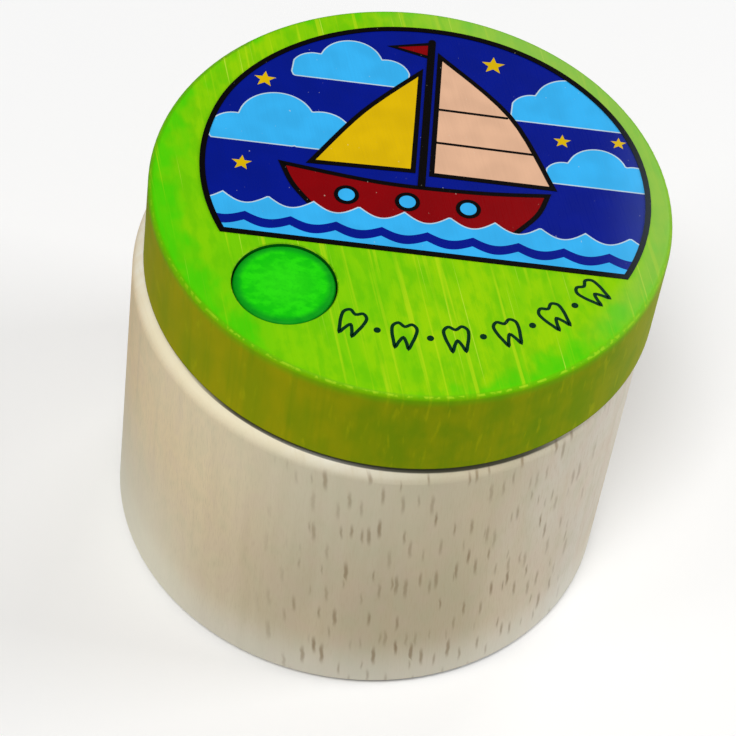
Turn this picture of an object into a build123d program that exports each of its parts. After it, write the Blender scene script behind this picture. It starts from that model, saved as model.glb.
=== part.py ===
from build123d import *
import math
import os

# Baby tooth box: a round turned wooden box, closed by a thick lid that swings on a wooden peg.
# Lengths are in millimetres and +Z is up. The origin is the centre of the box's underside.
# The front, where the peg is, lies on the -Y side, and the lid's print has its base along X.

# Box, turned from one blank
box_radius = 25.25
box_height = 35.1
box_shoulder = 1.75
box_foot_chamfer = 0.75

# Lid, turned from a second blank to a little less than the box's size
lid_inset = 0.25
lid_thickness = 10.9
lid_top_round = 0.6
lid_lower_chamfer = 0.5

# The lid hangs this far to the right of the box, so the box's shoulder shows on the left
lid_offset = 0.75

# Tooth cavity, bored off the box's centre, away from the peg
cavity_radius = 15.0
cavity_wall = 4.0
cavity_floor = 6.0
cavity_mouth_chamfer = 0.5

# Mark that the boring bit's centre point leaves in the cavity's floor
bit_mark_radius = 1.2
bit_mark_depth = 1.0

# Peg: its bearing round the box in degrees from +X, the wood outside its shank, its sunk head and
# its glued shank
pivot_bearing = -128.0
shank_wall = 5.5
head_radius = 4.8
head_height = 4.0
head_recess = 0.1
head_edge_round = 0.4
shank_radius = 3.0
shank_held_length = 14.0
shank_end_chamfer = 0.5

# Clearances, and the eased rim of the hole that the head sinks into
head_side_gap = 0.12
head_under_gap = 0.2
turning_gap = 0.08
glue_gap = 0.02
glue_space = 1.0
sink_rim_chamfer = 0.1

# Sizes, heights and places that follow from the sizes above
lid_radius = box_radius - lid_inset
lid_top = box_height + lid_thickness
head_top = lid_top - head_recess
head_bottom = head_top - head_height
shank_bottom = box_height - shank_held_length
pivot_reach = box_radius - shank_wall - shank_radius
pivot_x = pivot_reach * math.cos(math.radians(pivot_bearing))
pivot_y = pivot_reach * math.sin(math.radians(pivot_bearing))
cavity_shift = box_radius - cavity_wall - cavity_radius
cavity_x = -cavity_shift * math.cos(math.radians(pivot_bearing))
cavity_y = -cavity_shift * math.sin(math.radians(pivot_bearing))

os.makedirs("parts", exist_ok=True)


def upright_plane(x, y):
    """The plane of a turned outline: its second axis is up, along the turning axis at x, y."""
    return Plane(origin=(x, y, 0), x_dir=(1, 0, 0), z_dir=(0, -1, 0))


def turning_axis(x, y):
    return Axis((x, y, 0), (0, 0, 1))


# Box body: the turned outline, then the cavity and the peg's blind hole, bored from the top
with BuildPart() as box_body:
    with BuildSketch(upright_plane(0, 0)) as box_outline:
        Rectangle(box_radius, box_height, align=(Align.MIN, Align.MIN))
        foot = box_outline.vertices().group_by(Axis.X)[-1].sort_by(Axis.Y)[0]
        chamfer(foot, box_foot_chamfer)
        shoulder = box_outline.vertices().group_by(Axis.X)[-1].sort_by(Axis.Y)[-1]
        fillet(shoulder, box_shoulder)
    revolve(axis=turning_axis(0, 0))

    with Locations((cavity_x, cavity_y, box_height)):
        Hole(cavity_radius, depth=box_height - cavity_floor)
    top_rims = box_body.edges().filter_by(GeomType.CIRCLE).group_by(Axis.Z)[-1]
    chamfer(top_rims.sort_by(SortBy.RADIUS)[0], cavity_mouth_chamfer)
    with Locations((cavity_x, cavity_y, cavity_floor)):
        Cone(
            0,
            bit_mark_radius,
            bit_mark_depth,
            align=(Align.CENTER, Align.CENTER, Align.MAX),
            mode=Mode.SUBTRACT,
        )

    with Locations((pivot_x, pivot_y, box_height)):
        Hole(shank_radius + glue_gap, depth=shank_held_length + glue_space)

# Swivel lid: a thick turned disc, with a stepped hole for the peg's head and shank
with BuildPart() as swivel_lid:
    with BuildSketch(upright_plane(lid_offset, 0)) as lid_outline:
        with Locations((0, box_height)):
            Rectangle(lid_radius, lid_thickness, align=(Align.MIN, Align.MIN))
        lower_rim = lid_outline.vertices().group_by(Axis.X)[-1].sort_by(Axis.Y)[0]
        chamfer(lower_rim, lid_lower_chamfer)
        upper_rim = lid_outline.vertices().group_by(Axis.X)[-1].sort_by(Axis.Y)[-1]
        fillet(upper_rim, lid_top_round)
    revolve(axis=turning_axis(lid_offset, 0))

    with Locations((pivot_x, pivot_y, lid_top)):
        CounterBoreHole(
            radius=shank_radius + turning_gap,
            counter_bore_radius=head_radius + head_side_gap,
            counter_bore_depth=head_recess + head_height + head_under_gap,
        )
    lid_rims = swivel_lid.edges().filter_by(GeomType.CIRCLE).group_by(Axis.Z)[-1]
    chamfer(lid_rims.sort_by(SortBy.RADIUS)[0], sink_rim_chamfer)

# Pivot peg: a headed peg, turned in one piece, whose shank is glued into the box's wall
with BuildPart() as pivot_peg:
    with BuildSketch(upright_plane(pivot_x, pivot_y)) as peg_outline:
        with BuildLine():
            Polyline(
                (0, shank_bottom),
                (shank_radius, shank_bottom),
                (shank_radius, head_bottom),
                (head_radius, head_bottom),
                (head_radius, head_top),
                (0, head_top),
                close=True,
            )
        make_face()
        shank_end = peg_outline.vertices().group_by(Axis.Y)[0].sort_by(Axis.X)[-1]
        chamfer(shank_end, shank_end_chamfer)
        head_rim = peg_outline.vertices().group_by(Axis.Y)[-1].sort_by(Axis.X)[-1]
        fillet(head_rim, head_edge_round)
    revolve(axis=turning_axis(pivot_x, pivot_y))

box_body.part.label = "box_body"
swivel_lid.part.label = "swivel_lid"
pivot_peg.part.label = "pivot_peg"

for piece in (box_body.part, swivel_lid.part, pivot_peg.part):
    export_step(piece, f"parts/{piece.label}.step")

print("wall beside the peg's hole:", round(pivot_reach + cavity_shift - cavity_radius - shank_radius, 2))
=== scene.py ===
# %% [markdown]
# # A turned wooden tooth box
# The object is a small round beech box, about 50 mm across and 46 mm high. Its lid is a thick disc,
# stained green, that swings aside on a wooden peg, and a picture is printed on it. This lesson loads
# the box's solids and gives them their looks: the bare wood, the stained wood and the inks.

# %% Load the solids
import bmesh
import bpy
import math
from mathutils import Matrix, Vector


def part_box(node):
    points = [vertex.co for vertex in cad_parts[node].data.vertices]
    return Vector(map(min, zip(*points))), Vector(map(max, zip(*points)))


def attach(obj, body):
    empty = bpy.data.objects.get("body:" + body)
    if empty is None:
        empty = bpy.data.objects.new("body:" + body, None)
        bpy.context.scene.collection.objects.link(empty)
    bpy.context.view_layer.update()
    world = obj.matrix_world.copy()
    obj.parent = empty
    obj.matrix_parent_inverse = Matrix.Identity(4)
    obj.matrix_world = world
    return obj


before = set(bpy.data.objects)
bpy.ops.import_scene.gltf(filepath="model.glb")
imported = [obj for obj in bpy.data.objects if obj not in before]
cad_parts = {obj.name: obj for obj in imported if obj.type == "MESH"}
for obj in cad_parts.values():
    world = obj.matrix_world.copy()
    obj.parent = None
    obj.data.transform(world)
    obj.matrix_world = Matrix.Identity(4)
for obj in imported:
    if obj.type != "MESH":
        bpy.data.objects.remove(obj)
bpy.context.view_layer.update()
MM = 0.001

lid_low, lid_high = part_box("swivel_lid")
peg_low, peg_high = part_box("pivot_peg")
lid_centre = (lid_low + lid_high) / 2
lid_axis = (lid_centre.x, lid_centre.y)
lid_radius = (lid_high.x - lid_low.x) / 2
lid_top = lid_high.z
peg_centre = (peg_low + peg_high) / 2
peg_axis = (peg_centre.x, peg_centre.y)
head_radius = (peg_high.x - peg_low.x) / 2
print("lid radius", round(lid_radius / MM, 2), "mm; top at", round(lid_top / MM, 2), "mm")

# %% [markdown]
# ## The camera
# The photograph looks down on the lid from about 50 degrees, and its upright is tilted a little. The
# box fills the frame although it is tiny, so the lens is long: a long lens keeps the lid nearly a
# true ellipse and the box's sides nearly parallel. Azimuth, elevation and roll are set one after
# the other, which is easier to adjust than a rotation typed as three Euler angles.

# %% Place the camera
camera_azimuth = math.radians(-3.1)
camera_elevation = math.radians(50.0)
camera_roll = math.radians(9.0)
camera_distance = 298.2 * MM
camera_aim = Vector((-0.81, 0.0, 19.58)) * MM
lens_length = 143.6
nearest_seen = 10 * MM

towards_camera = Vector((
    math.sin(camera_azimuth) * math.cos(camera_elevation),
    -math.cos(camera_azimuth) * math.cos(camera_elevation),
    math.sin(camera_elevation),
))
camera_data = bpy.data.cameras.new("camera")
camera_data.lens = lens_length
camera_data.clip_start = nearest_seen
camera = bpy.data.objects.new("camera", camera_data)
turn = towards_camera.to_track_quat("Z", "Y").to_matrix().to_4x4()
camera.matrix_world = (
    Matrix.Translation(camera_aim + towards_camera * camera_distance)
    @ turn
    @ Matrix.Rotation(camera_roll, 4, "Z")
)
bpy.context.scene.collection.objects.link(camera)
bpy.context.scene.camera = camera
bpy.context.scene.view_settings.view_transform = "Standard"
print("camera at", [round(value / MM) for value in camera.matrix_world.translation], "mm")


# %% [markdown]
# ## Shader sums written as sums
# A wood shader is mostly arithmetic on a position. Node by node that is long and hard to read, so a
# small class wraps a socket and overloads the operators: an expression adds its Math nodes by
# itself. Colours and vectors never pass through a Math node, which would turn them grey.

# %% A socket that can be used in sums
class Wire:
    """An output socket of a material's tree. Arithmetic on it adds Math nodes."""

    def __init__(self, tree, socket=None):
        self.tree = tree
        self.socket = socket

    def node(self, kind, inputs, output=0, **settings):
        """Adds a node of this kind: its settings first, then its sockets' values or links."""
        made = self.tree.nodes.new(kind)
        for name, value in settings.items():
            setattr(made, name, value)
        for name, value in inputs.items():
            if isinstance(value, Wire):
                self.tree.links.new(value.socket, made.inputs[name])
            else:
                made.inputs[name].default_value = value
        return Wire(self.tree, made.outputs[output] if made.outputs else None)

    def maths(self, operation, *values):
        numbered = dict(enumerate(values))
        return self.node("ShaderNodeMath", numbered, operation=operation)

    def __add__(self, other):
        return self.maths("ADD", self, other)

    def __radd__(self, other):
        return self.maths("ADD", other, self)

    def __sub__(self, other):
        return self.maths("SUBTRACT", self, other)

    def __rsub__(self, other):
        return self.maths("SUBTRACT", other, self)

    def __mul__(self, other):
        return self.maths("MULTIPLY", self, other)

    def __rmul__(self, other):
        return self.maths("MULTIPLY", other, self)

    def __truediv__(self, other):
        return self.maths("DIVIDE", self, other)

    def ramp(self, start, end):
        """0 up to start and 1 from end on, with a smooth rise between. It falls if start > end."""
        sockets = {"Value": self, "From Min": start, "From Max": end}
        return self.node("ShaderNodeMapRange", sockets, interpolation_type="SMOOTHSTEP")


print("what a wire can do:", ", ".join(name for name in vars(Wire) if callable(vars(Wire)[name])))

# %% [markdown]
# A finish is laid on as a finisher lays it: a ground colour, then weak washes, each with a mask that
# says where it shows. One list of washes is easier to adjust than a chain of Mix nodes.

# %% Colours and washes
def linear(red, green, blue):
    """A colour as a painter reads it, 0 to 255, in the linear light that shaders use."""
    shares = [value / 255 for value in (red, green, blue)]
    return (*[s / 12.92 if s < 0.04045 else ((s + 0.055) / 1.055) ** 2.4 for s in shares], 1.0)


def blend(factor, first, second):
    """Goes from the first colour to the second as the factor goes from 0 to 1."""
    sockets = {0: factor, 6: first, 7: second}
    return factor.node("ShaderNodeMix", sockets, output=2, data_type="RGBA")


def washed(colour, washes):
    """Lays washes over a colour, one after another. Each is a mask, 0 to 1, and a tint, 0 to 255."""
    for mask, tint in washes:
        colour = blend(mask, colour, linear(*tint))
    return colour


print("a painter's middle grey, 128, is", round(linear(128, 128, 128)[0], 3), "in linear light")

# %% [markdown]
# ## Where a point lies in the wood
# Wood has three directions: along the fibres, along the rays, which run from the pith to the bark,
# and across both. Every pattern below is drawn in those three directions, in millimetres, so it runs
# through the whole blank as real grain does and meets itself at every edge. A picture of wood
# wrapped round the box would show a join instead.

# %% Start a material and find a point's place in it
def start_material(name):
    """A new material with an empty tree, and a wire to build on."""
    material = bpy.data.materials.new(name)
    material.use_nodes = True
    material.node_tree.nodes.clear()
    return material, Wire(material.node_tree)


def millimetres(wire, turned=0.0, centre=(0.0, 0.0)):
    """The point's place in millimetres, in axes turned about the upright through centre."""
    place = wire.node("ShaderNodeTexCoord", {}, output="Object")
    shift = (-centre[0], -centre[1], 0.0)
    moved = wire.node("ShaderNodeVectorMath", {0: place, 1: shift}, operation="ADD")
    scaled = wire.node("ShaderNodeVectorMath", {0: moved, "Scale": 1 / MM}, operation="SCALE")
    return wire.node("ShaderNodeVectorRotate", {"Vector": scaled, "Angle": -turned},
                     rotation_type="Z_AXIS")


print("a place in metres times", round(1 / MM), "is a place in millimetres")


# %% Measure from a place
def parts(vector):
    """The x, y and z of a vector as three wires."""
    return [vector.node("ShaderNodeSeparateXYZ", {"Vector": vector}, output=i) for i in range(3)]


def facing_up(wire):
    """1 where the surface faces straight up, 0 on an upright wall and -1 underneath."""
    return parts(wire.node("ShaderNodeNewGeometry", {}, output="Normal"))[2]


def distance_from_axis(place):
    """How far a point is from the upright axis."""
    flat = place.node("ShaderNodeVectorMath", {0: place, 1: (1.0, 1.0, 0.0)}, operation="MULTIPLY")
    return place.node("ShaderNodeVectorMath", {0: flat}, output="Value", operation="LENGTH")


def towards(wire, bearing, centre=(0.0, 0.0)):
    """1 where a point lies in this direction from the upright axis, and -1 on the far side."""
    place = millimetres(wire, turned=bearing, centre=centre)
    return parts(place)[0] / distance_from_axis(place)


print("the lid's axis is", round(lid_axis[0] / MM, 2), "mm to the right of the box's")


# %% [markdown]
# Most grain is noise that is stretched along the fibres. A finish needs several at once, so they are
# listed in a table: a name, a size in each direction and how much detail the noise has.

# %% Patterns of grain
pore_width = 0.12
pore_length = 1.6


def stretched(place, x, y, z):
    """The place divided by a pattern's size in each direction, in millimetres."""
    return place.node("ShaderNodeVectorMath", {0: place, 1: (1 / x, 1 / y, 1 / z)},
                      operation="MULTIPLY")


def noise(vector, detail=2.0):
    return vector.node("ShaderNodeTexNoise", {"Vector": vector, "Scale": 1.0, "Detail": detail})


def patterns(place, sizes):
    """One noise for each name. Its numbers are x, y and z in millimetres, and then the detail."""
    made = {}
    for name, (x, y, z, detail) in sizes.items():
        made[name] = noise(stretched(place, x, y, z), detail)
    return made


print("a pore is drawn", round(pore_length / pore_width), "times as long as it is wide")

# %% [markdown]
# Every finish ends the same way: colour, roughness and a shallow relief go into one Principled
# shader. The relief could be real geometry, but grain is a few hundredths of a millimetre deep, and
# a bump gives it without any faces.

# %% Close a material
grain_depth = 0.03 * MM


def surface(material, wire, colour, roughness, height, depth, gloss):
    """Joins colour, roughness and height, a relief of this depth, to the material's surface."""
    bump = wire.node("ShaderNodeBump", {"Height": height, "Strength": 1.0, "Distance": depth})
    sockets = {
        "Base Color": colour,
        "Roughness": roughness,
        "Normal": bump,
        "Specular IOR Level": gloss,
    }
    shader = wire.node("ShaderNodeBsdfPrincipled", sockets)
    wire.node("ShaderNodeOutputMaterial", {"Surface": shader})
    print("material", material.name, "has", len(material.node_tree.nodes), "nodes")
    return material


print("the deepest grain is", round(grain_depth / MM, 3), "mm")

# %% [markdown]
# ## Bare beech
# Beech is pale and even. What gives it away are its rays: thin upright sheets of cells that show on
# a flat-sawn side as short brown flecks, and hardly at all a quarter turn away. The flecks could be
# scattered one by one, but a pattern of cells spreads them as evenly as the wood does. The cells are
# drawn in a plane across the rays, tall and narrow. They wander a little and lean a few degrees,
# because a blank is never cut quite along its fibres, and they fade where the surface turns up or
# down into end grain.

# %% Flecks where the rays show
ray_direction = math.radians(-70.0)
fibre_lean = math.radians(4.2)
fleck_spacing = 0.96
fleck_rise = 7.2
fleck_wander = 0.31
beech_patterns = {
    "wander": (2.0, 2.0, 1.3, 1.0),
    "pores": (pore_width, pore_width, pore_length, 3.0),
    "rings": (9.0, 1.6, 60.0, 3.0),
    "clouds": (9.0, 9.0, 18.0, 2.0),
    "stripes": (1.1, 1.1, 40.0, 2.0),
    "tints": (2.2, 2.2, 3.6, 1.0),
    "rays": (0.22, 6.0, 60.0, 2.0),
    "years": (16.0, 1.1, 60.0, 2.0),
}


def flecks(wire, place, wander, ray_shows, upward):
    """1 in the middle of a fleck and 0 between flecks. Each has a size and a strength of its own."""
    across, along_fibre = parts(place)[0], parts(place)[2]
    flat_cells = wire.node("ShaderNodeCombineXYZ", {
        "X": across * (1 / fleck_spacing) + fleck_wander * wander,
        "Y": along_fibre * (1 / fleck_rise),
        "Z": 0.0,
    })
    cells = {"Vector": flat_cells, "Scale": 1.0, "Randomness": 1.0, "Exponent": 3.0}
    settings = {"voronoi_dimensions": "2D", "distance": "MINKOWSKI"}
    near = wire.node("ShaderNodeTexVoronoi", cells, output="Distance", **settings)
    chance = wire.node("ShaderNodeTexVoronoi", cells, output="Color", **settings)
    size = 0.04 + 0.14 * parts(chance)[0]
    strength = 0.35 + 0.65 * parts(chance)[1]
    flat_sawn = 0.03 + 0.97 * ray_shows.ramp(0.7, 0.92)
    fleck = (near - size).ramp(0.12, -0.1) * strength * flat_sawn
    return fleck * upward.ramp(0.85, 0.4) * upward.ramp(-0.9, -0.6)


print("a cell for a fleck is", fleck_spacing, "mm wide and", fleck_rise, "mm high")

# %% [markdown]
# The wall is greyer and darker in front, where the flecks show: partly the wood's own tone and
# partly painted shade. The right side is painted paler and greyer, a painted sheen, and the side at
# the left is warmer. The foot is painted paler, a glow of light from the floor, most of all at the
# warm side, where painted light from the left adds to it. The wall is painted a little paler near
# its top in front, as light from above, and faintly darker below its middle, a painted shade.

# %% Colour of the wall
pale_side = math.radians(-12.0)
warm_side = math.radians(-165.0)
front_side = math.radians(-115.0)


def wall_colour(wire, grain, height, ray_shows, fleck):
    """The colour along the fibres: the blank's ground, its washes and its flecks."""
    rings = grain["rings"].ramp(0.3, 0.7)
    pale = blend(rings, linear(240, 224, 188), linear(234, 216, 180))
    # The darker, greyer copy for the front is partly the wood's own tone and partly painted shade.
    shaded = blend(rings, linear(212, 200, 170), linear(203, 190, 158))
    warm = towards(wire, warm_side)
    # Painted sheen: the right side is painted paler and greyer.
    painted_sheen_right = towards(wire, pale_side).ramp(0.58, 1.0)
    front = towards(wire, front_side).ramp(0.5, 0.95)
    # Painted light from the floor: the foot is painted paler.
    foot = height.ramp(9.0, 0.5)
    # Painted light and shade: paler near the top in front, darker below the middle.
    upper_front = height.ramp(14.0, 35.0) * front
    below_middle = height.ramp(24.0, 12.0) * height.ramp(4.0, 9.0)
    return washed(blend(ray_shows.ramp(0.35, 0.95), pale, shaded), [
        (warm.ramp(0.45, 1.0) * height.ramp(4.0, 27.0) * 0.6, (252, 220, 164)),
        (painted_sheen_right * 0.7, (236, 230, 220)),
        (grain["clouds"].ramp(0.4, 0.7) * 0.4, (222, 202, 168)),
        (grain["stripes"].ramp(0.5, 0.8) * 0.25, (206, 186, 150)),
        (grain["pores"].ramp(0.45, 0.75) * 0.3, (196, 176, 138)),
        (grain["tints"].ramp(0.5, 0.7) * 0.12, (224, 190, 176)),
        (grain["tints"].ramp(0.5, 0.3) * 0.12, (182, 190, 146)),
        (foot * 0.6, (236, 234, 220)),
        # Painted light from the left: paler towards the foot at the far left.
        (warm.ramp(0.72, 1.0) * height.ramp(27.0, 0.0) * 0.8, (255, 250, 226)),
        (upper_front * 0.3, (244, 240, 214)),
        (below_middle * 0.09, (178, 158, 124)),
        (fleck * 0.8, (140, 113, 76)),
    ])


print("the pale side is at", round(math.degrees(pale_side)), "degrees from the right")

# %% [markdown]
# The top and the underside are end grain, sanded: fine lines along the rays and, across them, the
# years' rings. It is smoother than the wall. Its pale cream on the faces that look up, the
# shoulder's among them, is partly the end grain's own colour and partly a painted highlight,
# creamier at the front left, where the painted highlight is strongest. On the pale side the wall's
# own colour runs on over the shoulder, so the shoulder has no painted highlight there.

# %% Sanded end grain and a painted highlight
highlight_side = math.radians(-135.0)
shoulder_start = 22.6
shoulder_end = 23.6


def end_grain_and_highlight(wire, grain):
    return washed(linear(255, 250, 232), [
        (grain["years"].ramp(0.35, 0.65) * 0.6, (248, 236, 208)),
        (grain["rays"].ramp(0.5, 0.7) * 0.35, (236, 220, 186)),
        # Painted highlight: creamier at the front left.
        (towards(wire, highlight_side).ramp(0.75, 1.0) * 0.8, (255, 242, 204)),
    ])


def where_sanded_and_highlit(wire, reach, upward):
    """Near 1 on the top, the shoulder and the underside, and 0 on the wall."""
    # On the pale side the shoulder keeps the wall's colour, without the painted highlight.
    shoulder = towards(wire, pale_side).ramp(0.0, 0.5) * reach.ramp(shoulder_start, shoulder_end)
    return upward.ramp(0.0, 0.85) * (0.97 - 0.9 * shoulder) + 0.9 * upward.ramp(-0.9, -0.99)


print("the shoulder's mask rises over", round(shoulder_end - shoulder_start, 1), "mm")

# %% [markdown]
# In front, just under the lid's edge, the shoulder has a thin dark line, a painted shadow of the
# seam between lid and box. A separate thread of geometry would stand proud there, so it is a ring in
# the material. Its centre lies a little to the left of the lid's.

# %% The painted seam shadow
seam_shadow_side = math.radians(-90.0)
line_shift = 0.24
line_inner = 24.27
line_outer = 24.7
line_blur = 0.05


def painted_seam_shadow(wire):
    """1 on a thin ring under the lid's edge, in front only."""
    centre = (lid_axis[0] - line_shift * MM, lid_axis[1])
    reach = distance_from_axis(millimetres(wire, centre=centre))
    ring = reach.ramp(line_outer + line_blur, line_outer - line_blur)
    ring = ring * reach.ramp(line_inner - line_blur, line_inner + line_blur)
    return ring * towards(wire, seam_shadow_side).ramp(0.6, 0.85)


print("the line is", round(line_outer - line_inner, 2), "mm wide")

# %% Beech for the box
def beech(name):
    material, wire = start_material(name)
    upright = millimetres(wire, turned=ray_direction - math.radians(90.0))
    leaning = wire.node("ShaderNodeVectorRotate", {"Vector": upright, "Angle": -fibre_lean},
                        rotation_type="Y_AXIS")
    grain = patterns(leaning, beech_patterns)
    upward = facing_up(wire)
    ray_shows = towards(wire, ray_direction)
    ray_shows = ray_shows.maths("ABSOLUTE", ray_shows)
    fleck = flecks(wire, leaning, grain["wander"], ray_shows, upward)
    sanded_and_highlit = where_sanded_and_highlit(wire, distance_from_axis(upright), upward)
    colour = wall_colour(wire, grain, parts(upright)[2], ray_shows, fleck)
    # Sanded end grain, and a painted highlight on the faces that look up.
    colour = blend(sanded_and_highlit, colour, end_grain_and_highlight(wire, grain))
    # Painted shadow of the seam under the lid's edge.
    colour = blend(painted_seam_shadow(wire) * 0.9, colour, linear(36, 36, 8))
    roughness = 0.55 + 0.12 * grain["pores"] - 0.1 * fleck - 0.24 * sanded_and_highlit
    relief = 0.5 * grain["pores"] + 0.5 * fleck
    return surface(material, wire, colour, roughness, relief, -grain_depth, gloss=0.45)


bare_beech = beech("beech")

# %% [markdown]
# ## Stained wood
# The lid and the peg are the same beech, stained. One green would look like plastic, because stain
# sinks in unevenly: the grain's lines stay yellower, and the rim drinks more at the left and at the
# front right and stays drier between them. The rim is also painted paler on the right, a painted
# sheen. So the masks come first, and the top and the side share them.

# %% Where the lid drinks, and where a sheen is painted on it
grain_direction = math.radians(-75.5)
thirsty_side = math.radians(212.0)
front_right = math.radians(-48.0)
dry_side = math.radians(-106.0)
front_of_lid = math.radians(-90.0)
worn_side = math.radians(30.0)
lid_patterns = {
    "fibres": (9.0, 0.16, 3.0, 3.0),
    "lines": (30.0, 0.6, 3.0, 2.0),
    "threads": (20.0, 0.22, 3.0, 1.0),
    "patches": (6.0, 2.2, 3.0, 2.0),
    "blotches": (2.4, 1.0, 3.0, 3.0),
    "spots": (3.4, 2.4, 9.0, 2.0),
    "nicks": (0.7, 0.7, 3.0, 2.0),
    "upright_lines": (0.5, 0.5, 14.0, 2.0),
}


def lid_stain(wire, place):
    """The stain's patterns, masks for the places that took more or less of it, and a painted sheen.
    """
    stain = patterns(place, lid_patterns)
    reach = distance_from_axis(place)
    stain["thirsty"] = towards(wire, thirsty_side, lid_axis)
    stain["worn"] = towards(wire, worn_side, lid_axis).ramp(0.2, 0.95) * reach.ramp(21.0, 23.5)
    inward = 2.2 * stain["thirsty"].ramp(0.25, 1.0)
    inward = inward + 2.0 * towards(wire, front_right, lid_axis).ramp(0.85, 1.0)
    inward = inward - 2.4 * towards(wire, dry_side, lid_axis).ramp(0.927, 0.978)
    ragged = reach + 7.0 * (stain["spots"] - 0.5) + inward
    stain["rim"] = ragged.ramp(lid_radius / MM - 1.6, lid_radius / MM + 1.3)
    in_front = towards(wire, front_of_lid, lid_axis).ramp(0.3, 0.9)
    stain["nicks"] = stain["nicks"].ramp(0.46, 0.58) * (0.2 + 0.4 * in_front)
    return stain


print("the lid's stain has", len(lid_patterns), "patterns")

# %% [markdown]
# The sanded top is bright. Its rounded edge is painted darker, a painted shade, and has small pale
# nicks, most of them in front. The turned side is duller and yellower still, greener just below its
# top, and dark in a narrow seam at its foot, where the lid meets the box: a painted shadow. Top and
# side are painted paler at the right, a painted sheen.

# %% Colours of the lid's top and side
def top_colour(stain, upward):
    edge = upward.ramp(0.999, 0.85) * upward.ramp(0.2, 0.6)
    ground = blend(stain["patches"].ramp(0.35, 0.65), linear(134, 206, 3), linear(152, 211, 3))
    return washed(ground, [
        (stain["thirsty"].ramp(0.3, 1.0) * 0.45, (94, 202, 3)),
        (stain["blotches"].ramp(0.4, 0.65) * 0.5, (96, 192, 2)),
        (stain["rim"] * 0.66, (48, 208, 3)),
        (stain["fibres"].ramp(0.5, 0.75) * 0.2, (104, 190, 2)),
        (stain["lines"].ramp(0.58, 0.7) * 0.6, (184, 220, 22)),
        (stain["threads"].ramp(0.69, 0.78) * 0.6, (208, 232, 70)),
        # Painted sheen at the right of the rim.
        (stain["worn"] * 0.7, (148, 190, 90)),
        # Painted shade on the top's rounded edge.
        (edge * 0.5, (116, 178, 2)),
        (upward.ramp(0.88, 0.78) * upward.ramp(0.5, 0.65) * stain["nicks"], (188, 232, 40)),
    ])


def side_colour(stain, height):
    near_top = height.ramp(lid_top / MM - 1.5, lid_top / MM - 0.4)
    seam = height.ramp(lid_low.z / MM + 0.64, lid_low.z / MM + 0.46)
    ground = blend(stain["patches"].ramp(0.35, 0.7), linear(145, 156, 2), linear(127, 150, 2))
    return washed(ground, [
        (stain["thirsty"].ramp(0.45, 1.0) * 0.6, (176, 164, 2)),
        (stain["spots"].ramp(0.4, 0.7) * 0.4, (108, 148, 2)),
        (stain["upright_lines"].ramp(0.5, 0.75) * 0.22, (106, 142, 2)),
        (stain["lines"].ramp(0.58, 0.74) * 0.35, (184, 184, 6)),
        (near_top * 0.5, (92, 184, 2)),
        # Painted sheen at the right.
        (stain["worn"] * 0.4, (190, 190, 90)),
        # Painted shade in the seam at the side's foot.
        (seam * 0.85 * (1.0 - stain["worn"]), (30, 34, 2)),
    ])


print("the lid's side is", round((lid_top - lid_low.z) / MM, 1), "mm high")

# %% Green stain for the lid
stained_grain_depth = 0.015 * MM


def stained_lid(name):
    material, wire = start_material(name)
    place = millimetres(wire, turned=grain_direction, centre=lid_axis)
    stain = lid_stain(wire, place)
    upward = facing_up(wire)
    side = upward.ramp(0.9, 0.1) * upward.ramp(-0.99, -0.9)
    from_peg = distance_from_axis(millimetres(wire, centre=peg_axis))
    # Painted shade: the wall of the hole round the peg's head is dark green.
    hole_shade = from_peg.ramp(head_radius / MM + 0.5, head_radius / MM + 0.3)
    turned = blend(hole_shade, side_colour(stain, parts(place)[2]), linear(2, 112, 18))
    colour = blend(side, top_colour(stain, upward), turned)
    roughness = 0.4 + 0.12 * stain["fibres"] + 0.2 * side
    relief = stain["fibres"] + stain["lines"]
    return surface(material, wire, colour, roughness, relief, -stained_grain_depth, gloss=0.035)


green_beech = stained_lid("green_stained_beech")

# %% [markdown]
# The peg's head is end grain, which drinks most: a deeper green, lighter in the middle. Round its
# edge it is painted darker and bluer, a painted shade.

# %% Deeper green for the peg
peg_patterns = {"grain": (0.3, 0.3, 3.0, 3.0), "clouds": (1.3, 0.9, 5.0, 4.0)}


def stained_peg(name):
    material, wire = start_material(name)
    place = millimetres(wire, centre=peg_axis)
    reach = distance_from_axis(place)
    stain = patterns(place, peg_patterns)
    edge = reach.ramp(head_radius / MM - 1.1, head_radius / MM - 0.3)
    ground = blend(stain["clouds"].ramp(0.38, 0.62), linear(14, 196, 6), linear(34, 220, 6))
    colour = washed(ground, [
        (reach.ramp(4.2, 0.5) * 0.6, (48, 224, 16)),
        (stain["grain"].ramp(0.5, 0.75) * 0.3, (6, 184, 12)),
        # Painted shade round the head's edge.
        (edge * 0.8, (2, 138, 24)),
    ])
    roughness = 0.42 + 0.12 * stain["grain"]
    return surface(
        material, wire, colour, roughness, stain["grain"], -stained_grain_depth, gloss=0.06
    )


deep_green_beech = stained_peg("deep_green_stained_beech")

# %% [markdown]
# The three solids need nothing but their woods. The new material could join the plain one that a
# solid comes with, but then each face would still have to be told to use it. So the slots are
# cleared first.

# %% Give the solids their woods
def dress(node, material):
    """Puts the material in every slot of a solid."""
    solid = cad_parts[node]
    solid.data.materials.clear()
    solid.data.materials.append(material)
    print(node, "has", len(solid.data.polygons), "faces and the material", material.name)


dress("box_body", bare_beech)
dress("swivel_lid", green_beech)
dress("pivot_peg", deep_green_beech)

# %% [markdown]
# ## The print on the lid
# The print is flat ink in a few colours, with black lines over them. It could be an image on the
# lid, but plates of ink stay sharp from close by and ride with the lid as pieces of their own.
# Shapes that overlap lie in layers, each 0.012 mm higher than the one below. A shape is a closed
# plate whose foot lies just under the lid's top, so no light gets below it. All places are in
# millimetres from the lid's centre, and the straight base of the picture runs along X.

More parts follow.
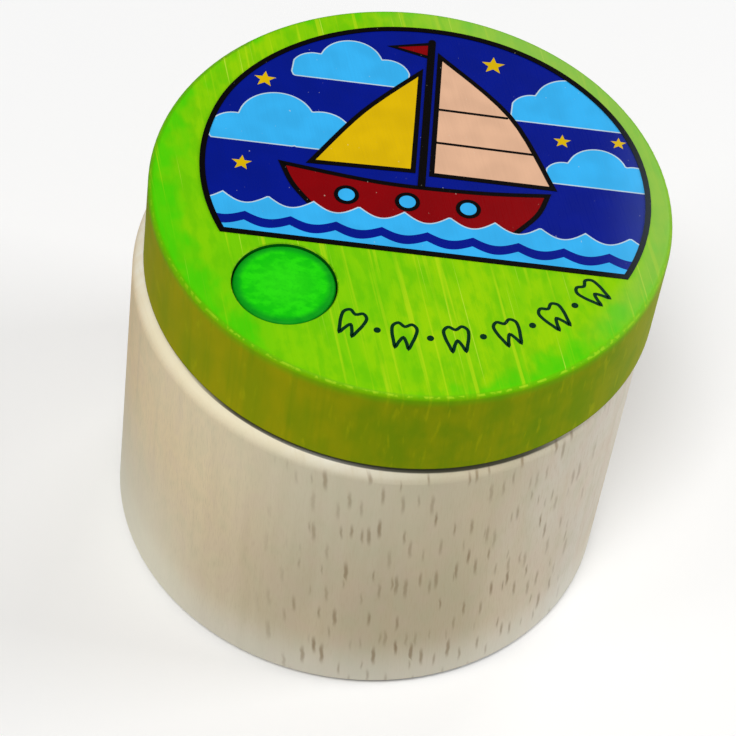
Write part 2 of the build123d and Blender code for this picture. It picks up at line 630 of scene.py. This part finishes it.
# %% Inks
ink_roughness = 0.24
ink_grain_depth = 0.003 * MM
ink_patterns = {
    "grain": (5.0, 0.2, 1.0, 2.0),
    "clouds": (3.0, 3.0, 1.0, 1.0),
    "pinholes": (0.45, 0.28, 1.0, 1.0),
}


def ink(name, colour):
    """A flat ink: even in colour, with the wood's grain faintly felt, a few pale pinholes and a
    painted sheen.
    """
    material, wire = start_material(name)
    print_marks = patterns(millimetres(wire, turned=grain_direction), ink_patterns)
    grain = print_marks["grain"]
    ink_sheen_right = parts(millimetres(wire, centre=lid_axis))[0].ramp(15.5, 24.0)
    shade = linear(*[0.91 * value for value in colour])
    mottling = print_marks["clouds"].ramp(0.3, 0.7) * 0.5 + 0.5 * grain
    tone = washed(blend(mottling, linear(*colour), shade), [
        (print_marks["pinholes"].ramp(0.76, 0.82) * 0.35, (226, 224, 200)),
        # Painted sheen: paler and bluer towards the lid's right edge.
        (ink_sheen_right * ink_sheen_right * 0.05, (206, 238, 255)),
    ])
    roughness = ink_roughness + 0.08 * grain
    return surface(material, wire, tone, roughness, grain, -ink_grain_depth, gloss=0.05)


night_blue = ink("night_blue_ink", (3, 24, 142))
sky_blue = ink("sky_blue_ink", (58, 186, 252))
red = ink("red_ink", (140, 2, 8))
yellow = ink("yellow_ink", (230, 190, 4))
peach = ink("peach_ink", (236, 188, 154))
black = ink("black_ink", (8, 5, 5))
dark_green = ink("dark_green_ink", (2, 50, 26))
primer = ink("pale_primer", (196, 220, 236))

# %% [markdown]
# Outlines are lists of points. Blender's own curve objects could draw them, but a plate needs plain
# points that can be cut off at the panel, filled and raised, so a few lines work the curves out.

# %% Points and curves on the lid's top
def on_circle(centre, radius, bearing):
    """The point of a circle at this bearing in degrees."""
    angle = math.radians(bearing)
    return centre[0] + radius * math.cos(angle), centre[1] + radius * math.sin(angle)


def circle(centre, radius, count):
    """This many points all round a circle."""
    return [on_circle(centre, radius, 360 * i / count) for i in range(count)]


def curve(points, closed=False, steps=6):
    """A smooth line through the points."""
    line = []
    last = len(points) - 1
    for i in range(len(points) if closed else last):
        numbers = [i - 1, i, i + 1, i + 2]
        numbers = [n % (last + 1) if closed else min(max(n, 0), last) for n in numbers]
        before, start, end, after = [Vector(points[n]) for n in numbers]
        for t in [step / steps for step in range(steps)]:
            bend = 2 * before - 5 * start + 4 * end - after
            twist = 3 * start - before - 3 * end + after
            line.append((2 * start + (end - before) * t + bend * t**2 + twist * t**3) / 2)
    return line if closed else line + [Vector(points[-1])]


print("24 points are within", round(100 * (1 - math.cos(math.pi / 24)), 1), "% of a true circle")

# %% Plates of ink
ink_thickness = 0.012 * MM


def ink_plate(name, points, faces, layer, material):
    """Raises flat faces, drawn in millimetres from the lid's centre, to a plate in this layer."""
    shape = bmesh.new()
    corners = []
    for x, y in points:
        corners.append(shape.verts.new((lid_centre.x + x * MM, lid_centre.y + y * MM, 0.0)))
    flat = [shape.faces.new([corners[i] for i in face]) for face in faces]
    raised = bmesh.ops.extrude_face_region(shape, geom=flat)["geom"]
    upper = [item for item in raised if isinstance(item, bmesh.types.BMVert)]
    for corner in corners:
        corner.co.z = lid_top - ink_thickness
    for corner in upper:
        corner.co.z = lid_top + layer * ink_thickness
    bmesh.ops.recalc_face_normals(shape, faces=shape.faces)
    mesh = bpy.data.meshes.new(name)
    shape.to_mesh(mesh)
    shape.free()
    mesh.materials.append(material)
    piece = bpy.data.objects.new(name, mesh)
    bpy.context.scene.collection.objects.link(piece)
    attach(piece, "lid")
    return piece


def fill(name, outline, layer, material):
    return ink_plate(name, outline, [range(len(outline))], layer, material)


print("a layer of ink is", round(ink_thickness / MM, 3), "mm")

# %% [markdown]
# A line could be a curve object with a bevel, but that makes a round tube. A printed line is a flat
# band, so each point gets one corner on either side of it, along the mitre between its neighbours.

# %% Strokes of ink
round_end = (0.5, 0.85, 1.0)
blunt_tip = 0.01
sharpest_mitre = 0.4


def stroke(name, line, width, layer, material=black, closed=False):
    """A line of ink with mitred corners, and with round ends unless it is closed."""
    line = [Vector(point) for point in line]
    halves = [width / 2] * len(line)
    if not closed:
        for end, inward in ((0, 1), (-1, -2)):
            tip = line[end]
            outward = (tip - line[inward]).normalized() * width / 2
            for share in round_end:
                place = 0 if end == 0 else len(line)
                line.insert(place, tip + outward * share)
                halves.insert(place, width / 2 * math.sqrt(1.0 + blunt_tip - share**2))
    count = len(line)
    points = []
    for i, half in enumerate(halves):
        back, here, on = line[i - 1], line[i], line[(i + 1) % count]
        back = 2 * here - on if i == 0 and not closed else back
        on = 2 * here - back if i == count - 1 and not closed else on
        first, second = (here - back).normalized(), (on - here).normalized()
        mitre = (first + second).normalized()
        side = Vector((-mitre.y, mitre.x)) * half / max(mitre.dot(first), sharpest_mitre)
        points += [here + side, here - side]
    pairs = [(i, (i + 1) % count) for i in range(count if closed else count - 1)]
    faces = [(2 * i, 2 * i + 1, 2 * j + 1, 2 * j) for i, j in pairs]
    return ink_plate(name, points, faces, layer, material)


def outlined(name, outline, layer, material, width=0.5):
    """A filled shape, and its black line one layer higher."""
    fill(name, outline, layer, material)
    stroke(name + "_line", outline, width, layer + 1, closed=True)


print("a stroke's round end has", len(round_end), "steps")

# %% [markdown]
# ## A night at sea
# The picture is a plain one that any workshop might print: a small sailing boat, clouds, stars and
# waves, in flat colours and thick lines. Its panel is an arch on a straight base. The arch isn't
# quite a circle, so it is a curve through bearings from its centre, with the radius at each.

# %% The panel
panel_centre = (1.08, 1.11)
panel_layer = 1
border_layer = 8
border_width = 0.55
arch = [
    (-24, 21.3),
    (20, 21.58),
    (50, 21.33),
    (88, 21.09),
    (112, 21.35),
    (148, 21.81),
    (166, 21.57),
    (184, 21.09),
    (205, 20.4),
]
panel = [on_circle(panel_centre, radius, bearing) for bearing, radius in curve(arch, steps=14)]

fill("panel", panel, panel_layer, night_blue)
stroke("panel_line", panel, border_width, border_layer, closed=True)
print("the panel's outline has", len(panel), "points")

# %% [markdown]
# Clouds and sea run off the panel. Cutting them with a boolean could leave slivers in plates this
# thin. So they are built column by column, between a lower and an upper edge, and each column ends
# at the panel's own outline.

# %% Shapes that end at the panel's outline
panel_left = -21.0
panel_right = 23.0
column_width = 0.1
primer_width = 0.13


def panel_span(x):
    """Where the panel's outline crosses this x, at the bottom and at the top."""
    crossings = []
    for (x0, y0), (x1, y1) in zip(panel, panel[1:] + panel[:1]):
        if min(x0, x1) <= x < max(x0, x1):
            crossings.append(y0 + (y1 - y0) * (x - x0) / (x1 - x0))
    return min(crossings, default=0.0), max(crossings, default=0.0)


def columns(name, lower, upper, layer, material, start=panel_left, end=panel_right):
    """The part of the panel between two edges, each a height as a function of x.

    A light blue part also gets a hair of bare primer round it."""
    low_edge, high_edge = [], []
    for i in range(int((end - start) / column_width) + 1):
        x = start + i * column_width
        bottom, top = panel_span(x)
        low, high = max(lower(x), bottom), min(upper(x), top)
        if high > low:
            low_edge.append((x, low))
            high_edge.append((x, high))
    outline = low_edge + high_edge[::-1]
    fill(name, outline, layer, material)
    if material is sky_blue:
        stroke(name + "_edge", outline[::2], primer_width, layer + 1, primer, closed=True)


print("the panel is", round(panel_span(0.0)[1] - panel_span(0.0)[0], 1), "mm high in its middle")

# %% Clouds
sky_layer = 2


def cloud(name, puffs, base):
    """Round puffs, each x, y and radius, cut off flat at the base."""
    def edge(x, side):
        heights = [y + side * math.sqrt(r**2 - (x - at)**2) for at, y, r in puffs if abs(x - at) < r]
        return side * max([side * height for height in heights], default=0.0)

    def lower(x):
        return max(edge(x, -1), base)

    def upper(x):
        return edge(x, 1)

    start = min(at - r for at, y, r in puffs)
    end = max(at + r for at, y, r in puffs)
    columns(name, lower, upper, sky_layer, sky_blue, start, end)


cloud("cloud_left", [(-17.6, 5.4, 2.4), (-13.6, 7.4, 3.7), (-9.2, 6.2, 3.0), (-6.4, 5.2, 2.0)], 4.2)
cloud("cloud_right", [(11.2, 12.6, 2.3), (14.6, 14.2, 3.3), (18.2, 12.7, 2.6)], 11.2)
cloud("cloud_high", [(-10.6, 15.0, 2.2), (-7.0, 16.4, 3.1), (-3.4, 15.1, 2.3)], 13.8)
cloud("cloud_low", [(14.4, 4.4, 1.9), (17.6, 5.6, 2.9), (21.2, 4.6, 2.1)], 3.4)

# %% Stars
star_waist = 0.42
stars = [(-15.2, 12.8, 1.1), (7.0, 18.4, 1.2), (14.1, 9.1, 0.9), (-16.4, 1.3, 1.0), (19.6, 9.7, 0.8)]


def star(name, centre, radius):
    """Five points. The inner corners lie at a share of the radius."""
    reaches = [radius * (star_waist if i % 2 else 1.0) for i in range(10)]
    corners = [on_circle(centre, reach, 90 + 36 * i) for i, reach in enumerate(reaches)]
    fill(name, corners, sky_layer, yellow)


for number, (x, y, radius) in enumerate(stars, 1):
    star(f"star_{number}", (x, y), radius)

# %% [markdown]
# The boat is drawn from the hull up. A black line one layer higher closes each colour, as on a
# simple print, and hides where two colours meet.

# %% The hull
hull_layer = 3
porthole_layer = 5
hull_side = curve([(-12.6, 1.9), (-11.2, -0.9), (-8.0, -4.6)])
hull_stern = curve([(9.2, -4.6), (11.9, -1.2), (12.9, 1.6)])
hull_deck = curve([(12.9, 1.6), (6.0, 0.9), (-3.0, 0.8), (-12.6, 1.9)])[1:-1]
outlined("hull", hull_side + hull_stern + hull_deck, hull_layer, red)
for number, x in enumerate((-6.2, -0.4, 5.4), 1):
    outlined(f"porthole_{number}", circle((x, -1.3), 1.0, 24), porthole_layer, sky_blue, 0.4)

# %% Mast and sails
deck = 1.1
mast_x = 0.8
mast_gap = 0.9
sail_layer = 4
rigging_layer = 6
seam_heights = (6.9, 11.4)
seam_lean = 0.62

leech = curve([(13.4, 2.6), (8.9, 11.6), (mast_x + mast_gap, 18.7)])
mainsail = [(mast_x + mast_gap, 2.6), (13.4, 2.6)] + leech[1:]
outlined("mainsail", mainsail, sail_layer, peach)

jib_edge = curve([(mast_x - mast_gap, 16.2), (-5.4, 9.9), (-9.9, 2.5)])
jib = [(mast_x - mast_gap, 2.8), (mast_x - mast_gap, 16.2)] + jib_edge[1:]
outlined("jib", jib, sail_layer, yellow)

for number, height in enumerate(seam_heights, 1):
    reach = 11.4 - seam_lean * (height - seam_heights[0])
    seam = [(mast_x + mast_gap, height), (reach, height - 0.1)]
    stroke(f"seam_{number}", seam, 0.28, rigging_layer)

pennant = [(mast_x, 20.4), (mast_x - 3.9, 19.4), (mast_x, 18.4)]
outlined("pennant", pennant, sail_layer, red, 0.4)
stroke("mast", [(mast_x, deck), (mast_x, 20.6)], 0.75, rigging_layer)

# %% [markdown]
# The sea lies over the hull, so the boat sits in it. Its upper edge is a sine wave whose lower half
# is folded up, which makes pointed crests, and a dark stripe of the same waves runs through it.

# %% The sea
panel_base = -7.55
sea_layer = 6
wave_length = 4.3


def swell(level, height, shift):
    """A row of waves with pointed crests: their height as a function of x."""
    def crest(x):
        return level - height * abs(math.sin(math.pi * (x + shift) / wave_length))
    return crest


def sea_floor(x):
    return panel_base


columns("sea", sea_floor, swell(-2.7, 1.1, 0.6), sea_layer, sky_blue)
columns("sea_stripe", swell(-6.0, 0.7, 2.6), swell(-4.9, 0.7, 2.6), sea_layer + 1, night_blue)

# %% [markdown]
# ## A row of little teeth
# The box keeps milk teeth, so a row of small teeth with dots between them runs along the lid's front
# edge. One tooth is drawn once, as half of its outline, and then mirrored, turned and repeated: each
# stands on a circle, with its crown towards the lid's centre.

# %% Teeth and dots
row_centre = (1.22, 2.71)
row_radius = 20.55
row_start = -106.5
row_end = -38.0
row_count = 11
row_layer = 1
row_line_width = 0.33
dot_radius = 0.34
half_tooth = [
    (0.0, 1.05),
    (0.62, 1.42),
    (1.12, 0.98),
    (1.08, 0.1),
    (0.86, -0.75),
    (0.62, -1.5),
    (0.36, -0.85),
    (0.0, -0.25),
]
tooth = half_tooth + [(-x, y) for x, y in half_tooth[-2:0:-1]]

for number in range(row_count):
    bearing = row_start + (row_end - row_start) * number / (row_count - 1)
    place = Vector(on_circle(row_centre, row_radius, bearing))
    turn_in_row = Matrix.Rotation(math.radians(bearing + 90), 2)
    if number % 2:
        fill(f"row_dot_{number}", circle(place, dot_radius, 12), row_layer, dark_green)
    else:
        line = [place + turn_in_row @ Vector(point) for point in curve(tooth, closed=True, steps=4)]
        stroke(f"row_tooth_{number}", line, row_line_width, row_layer, dark_green, closed=True)

# %% [markdown]
# ## Floor and light
# The floor is white to the camera's rays and grey to all others. So it looks white and keeps the
# shadows, but throws less light up at the sides than a white sheet would.

# %% Floor
floor_reach = 3.0
paper_fibres = {"clouds": (90.0, 90.0, 90.0, 2.0)}

floor_mesh = bpy.data.meshes.new("floor")
corners = [(x * floor_reach, y * floor_reach, 0.0) for x, y in ((-1, -1), (1, -1), (1, 1), (-1, 1))]
floor_mesh.from_pydata(corners, [], [(0, 1, 2, 3)])
floor = bpy.data.objects.new("floor", floor_mesh)
bpy.context.scene.collection.objects.link(floor)

paper, paper_wire = start_material("white_paper")
paper_clouds = patterns(millimetres(paper_wire), paper_fibres)["clouds"]
paper_grey = blend(paper_clouds, linear(200, 200, 200), linear(203, 203, 203))
paper_seen = paper_wire.node("ShaderNodeLightPath", {}, output="Is Camera Ray")
paper_shader = paper_wire.node("ShaderNodeBsdfPrincipled", {
    "Base Color": blend(paper_seen, paper_grey, linear(253, 253, 253)),
    "Roughness": 0.9,
    "Specular IOR Level": 0.0,
})
paper_wire.node("ShaderNodeOutputMaterial", {"Surface": paper_shader})
floor_mesh.materials.append(paper)
print("the floor is", 2 * floor_reach, "m wide")

# %% [markdown]
# A level white surface should render white, so each light is set by the share of full white that it
# gives there, and the shares add up to 1. One soft lamp stands high in front, a little to the left.
# A low one at the right keeps the round side from darkening, faint ones stand at the left and at the
# back right, and an even sky does the rest.

# %% Lamps and sky
sky_share = 0.24
lamps = {
    "front": ((-0.24, -0.7, 1.54), 0.55, 0.48),
    "low_left": ((-1.0, -0.43, 0.65), 0.3, 0.05),
    "low_right": ((1.1, 0.1, 0.5), 0.45, 0.16),
    "back_right": ((0.36, 0.76, 0.9), 0.35, 0.07),
}


def soft_lamp(name, place, size, share):
    """A square lamp aimed at the origin. A level white surface there gets this share of white."""
    away = Vector(place)
    data = bpy.data.lights.new(name, "AREA")
    data.size = size
    data.energy = share * math.pi**2 * away.length**3 / away.z
    lamp = bpy.data.objects.new(name, data)
    lamp.location = away
    lamp.rotation_euler = away.to_track_quat("Z", "Y").to_euler()
    bpy.context.scene.collection.objects.link(lamp)
    print(name, "has", round(data.energy, 1), "W")


for name, (place, size, share) in lamps.items():
    soft_lamp(name, place, size, share)

world = bpy.data.worlds.new("sky")
bpy.context.scene.world = world
world.use_nodes = True
world.node_tree.nodes.clear()
sky = Wire(world.node_tree)
seen = sky.node("ShaderNodeLightPath", {}, output="Is Camera Ray")
strength = sky_share + (1.0 - sky_share) * seen
background = sky.node("ShaderNodeBackground", {"Color": (1.0, 1.0, 1.0, 1.0), "Strength": strength})
sky.node("ShaderNodeOutputWorld", {"Surface": background})
lamp_shares = [share for place, size, share in lamps.values()]
print("the shares add up to", round(sum(lamp_shares) + sky_share, 2))

# %% [markdown]
